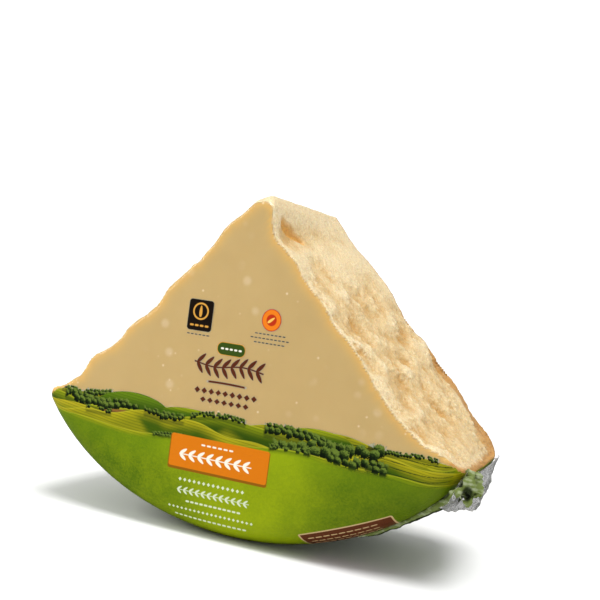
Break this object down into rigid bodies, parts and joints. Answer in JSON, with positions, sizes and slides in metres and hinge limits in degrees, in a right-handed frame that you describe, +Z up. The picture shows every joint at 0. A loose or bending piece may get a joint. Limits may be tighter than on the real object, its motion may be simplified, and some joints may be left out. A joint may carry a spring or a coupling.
{
  "type": "vacuum-packed parmesan wedge",
  "caption": "Wedge of hard grating cheese, an eighth of a wheel, in tight clear film with a printed green band round its curved heel, standing on that heel.",
  "frame": {"origin": "middle of the small flat foot under the curved heel, where the wedge stands", "axes": "+Z up from the foot to the tip, +X across the wedge to the corner that has the film tail, +Y along the wheel's axis from the smooth front face to the rind at the back"},
  "size_m": [0.284, 0.1288, 0.2097],
  "materials": {
    "cheese": "pale straw cheese seen through tight glossy film",
    "clear_film": "clear glossy shrink film, crumpled",
    "printed_film": "glossy shrink film printed in greens, yellow and orange"
  },
  "bodies": {
    "root": {"wrapped_wedge": "cheese", "film_tail": "clear_film", "film_fold": "printed_film"}
  },
  "joints": []
}
